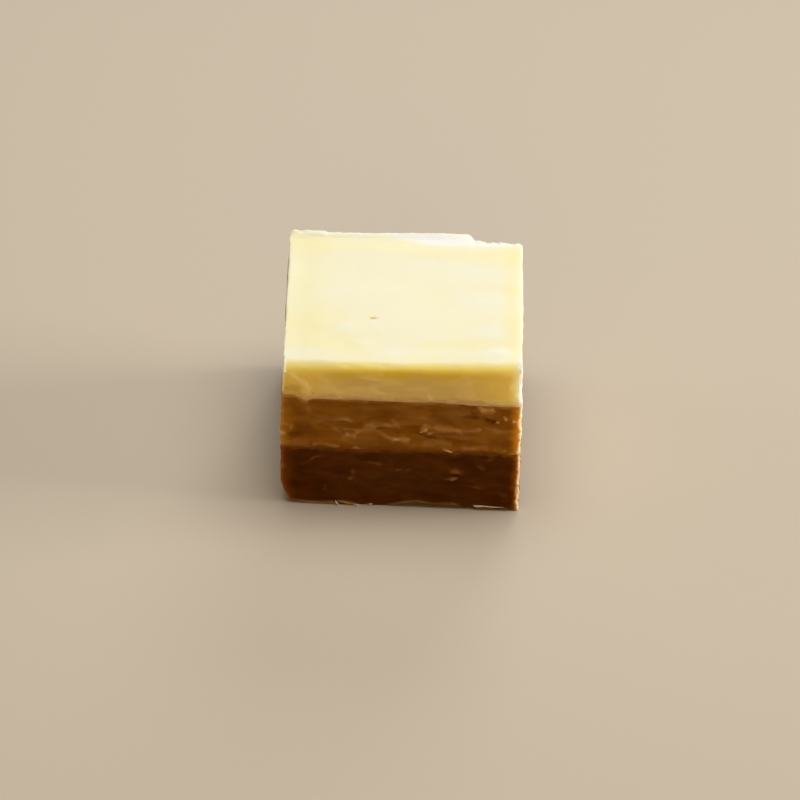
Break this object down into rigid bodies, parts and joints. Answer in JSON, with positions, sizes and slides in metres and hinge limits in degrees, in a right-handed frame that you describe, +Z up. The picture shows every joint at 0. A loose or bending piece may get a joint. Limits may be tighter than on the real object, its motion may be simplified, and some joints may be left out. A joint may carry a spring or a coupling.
{
  "type": "nougat praline",
  "caption": "Square-cut layered nougat praline: a poured white layer over light and dark brown nougat, with softened edges, wire-cut sides and a flat base to rest on.",
  "frame": {"origin": "middle of the base, on the surface that the piece rests on", "axes": "+Z up through the layers, -Y out of the front cut that the picture shows, +X to that view's right"},
  "size_m": [0.0228, 0.023, 0.0164],
  "materials": {
    "dark_nougat": "dark brown nougat with a soft satin cut face",
    "light_nougat": "light brown nougat with a soft satin cut face",
    "white_nougat": "cream white nougat with a smooth satin poured top"
  },
  "bodies": {
    "root": {"dark_nougat": "dark_nougat", "light_nougat": "light_nougat", "white_nougat": "white_nougat"}
  },
  "joints": []
}
